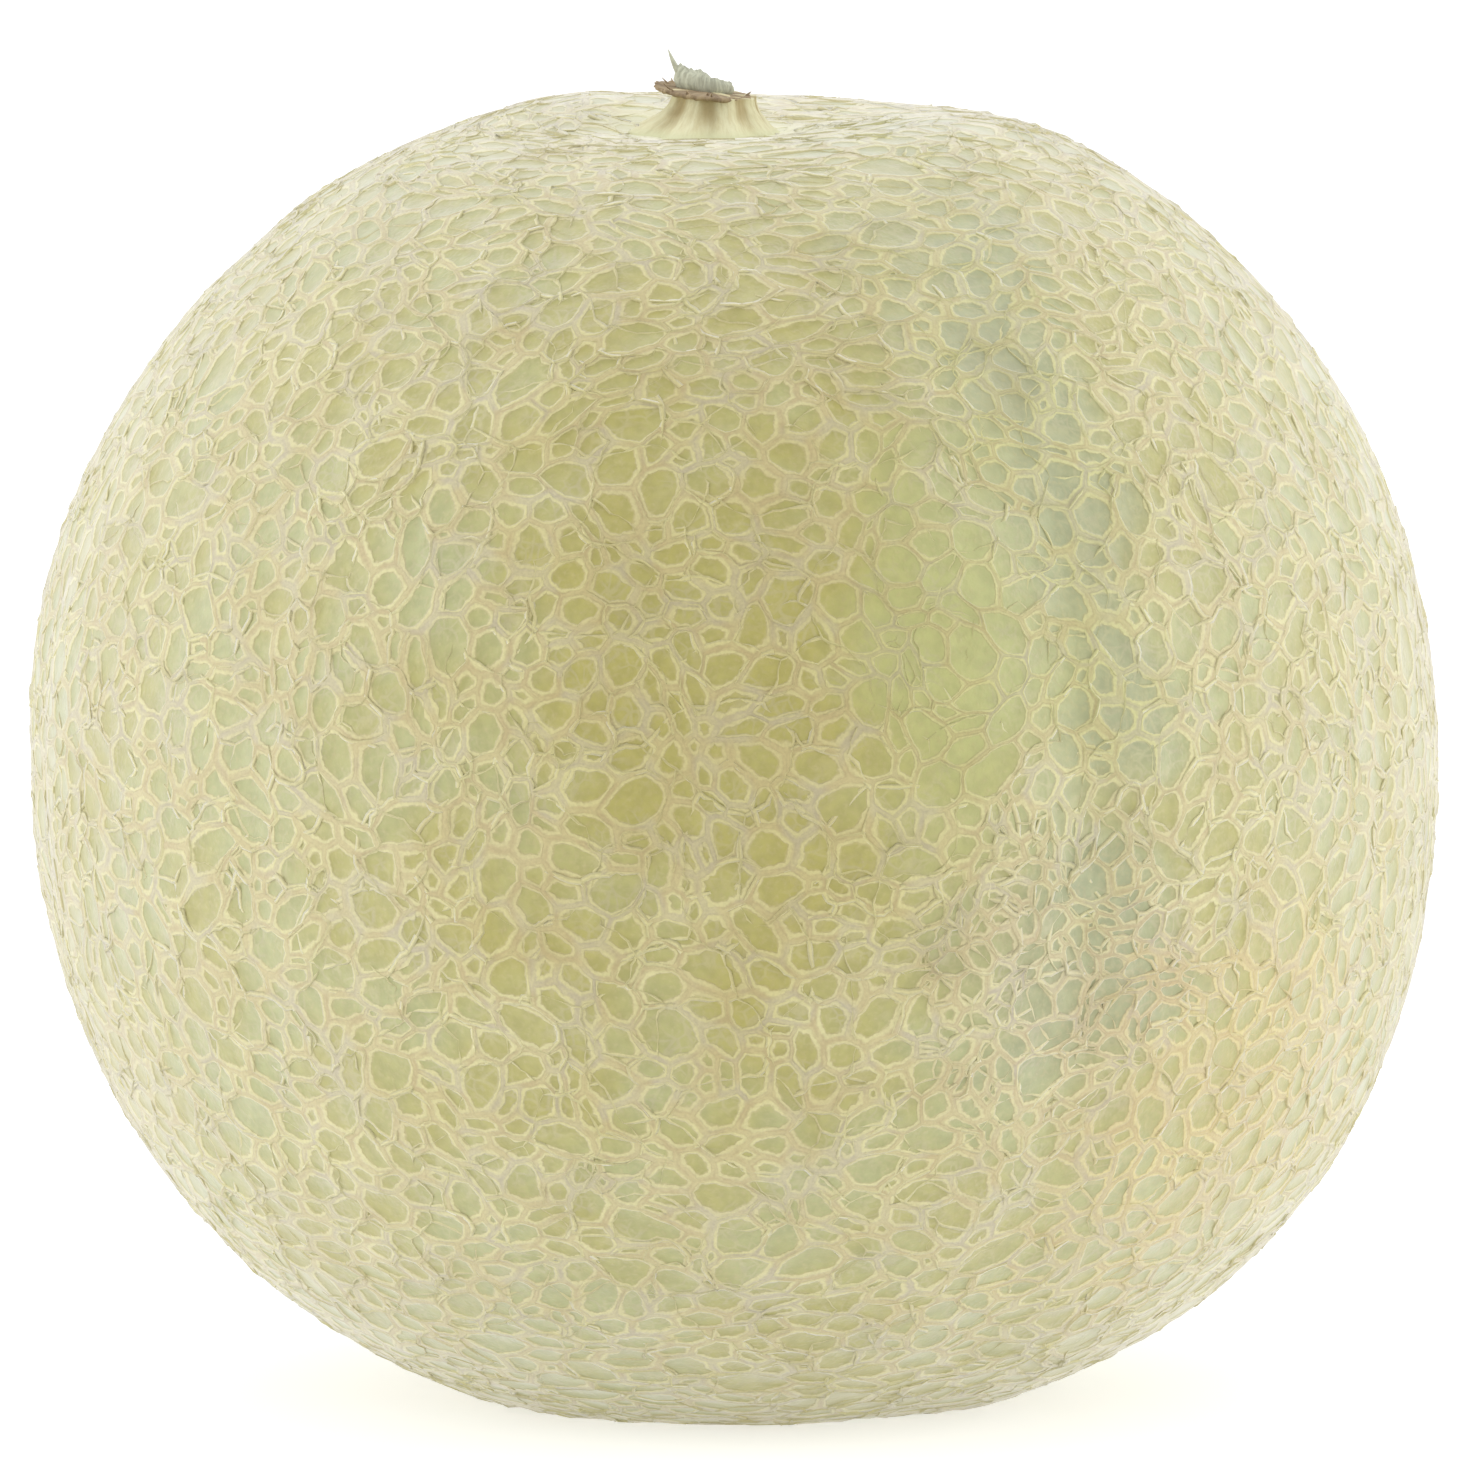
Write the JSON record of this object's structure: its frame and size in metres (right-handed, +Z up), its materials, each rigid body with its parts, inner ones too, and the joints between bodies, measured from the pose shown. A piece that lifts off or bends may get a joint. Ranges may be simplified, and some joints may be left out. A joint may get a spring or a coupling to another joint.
{
  "type": "cantaloupe melon",
  "caption": "Whole netted cantaloupe melon, a slightly flattened ball with a raised corky net and a torn dry stem stub, standing on a small flat spot.",
  "frame": {"origin": "on the surface that the melon stands on, under the middle of its outline", "axes": "+Z up through the stem end, -Y towards the side with the open suture, +X to the right seen from there"},
  "size_m": [0.1558, 0.1536, 0.1477],
  "materials": {
    "rind": "matte corky net over a satin skin",
    "dry_stem": "matte, dry and fibrous"
  },
  "bodies": {
    "root": {"melon_fruit": "rind", "stem_stub": "dry_stem"}
  },
  "joints": []
}
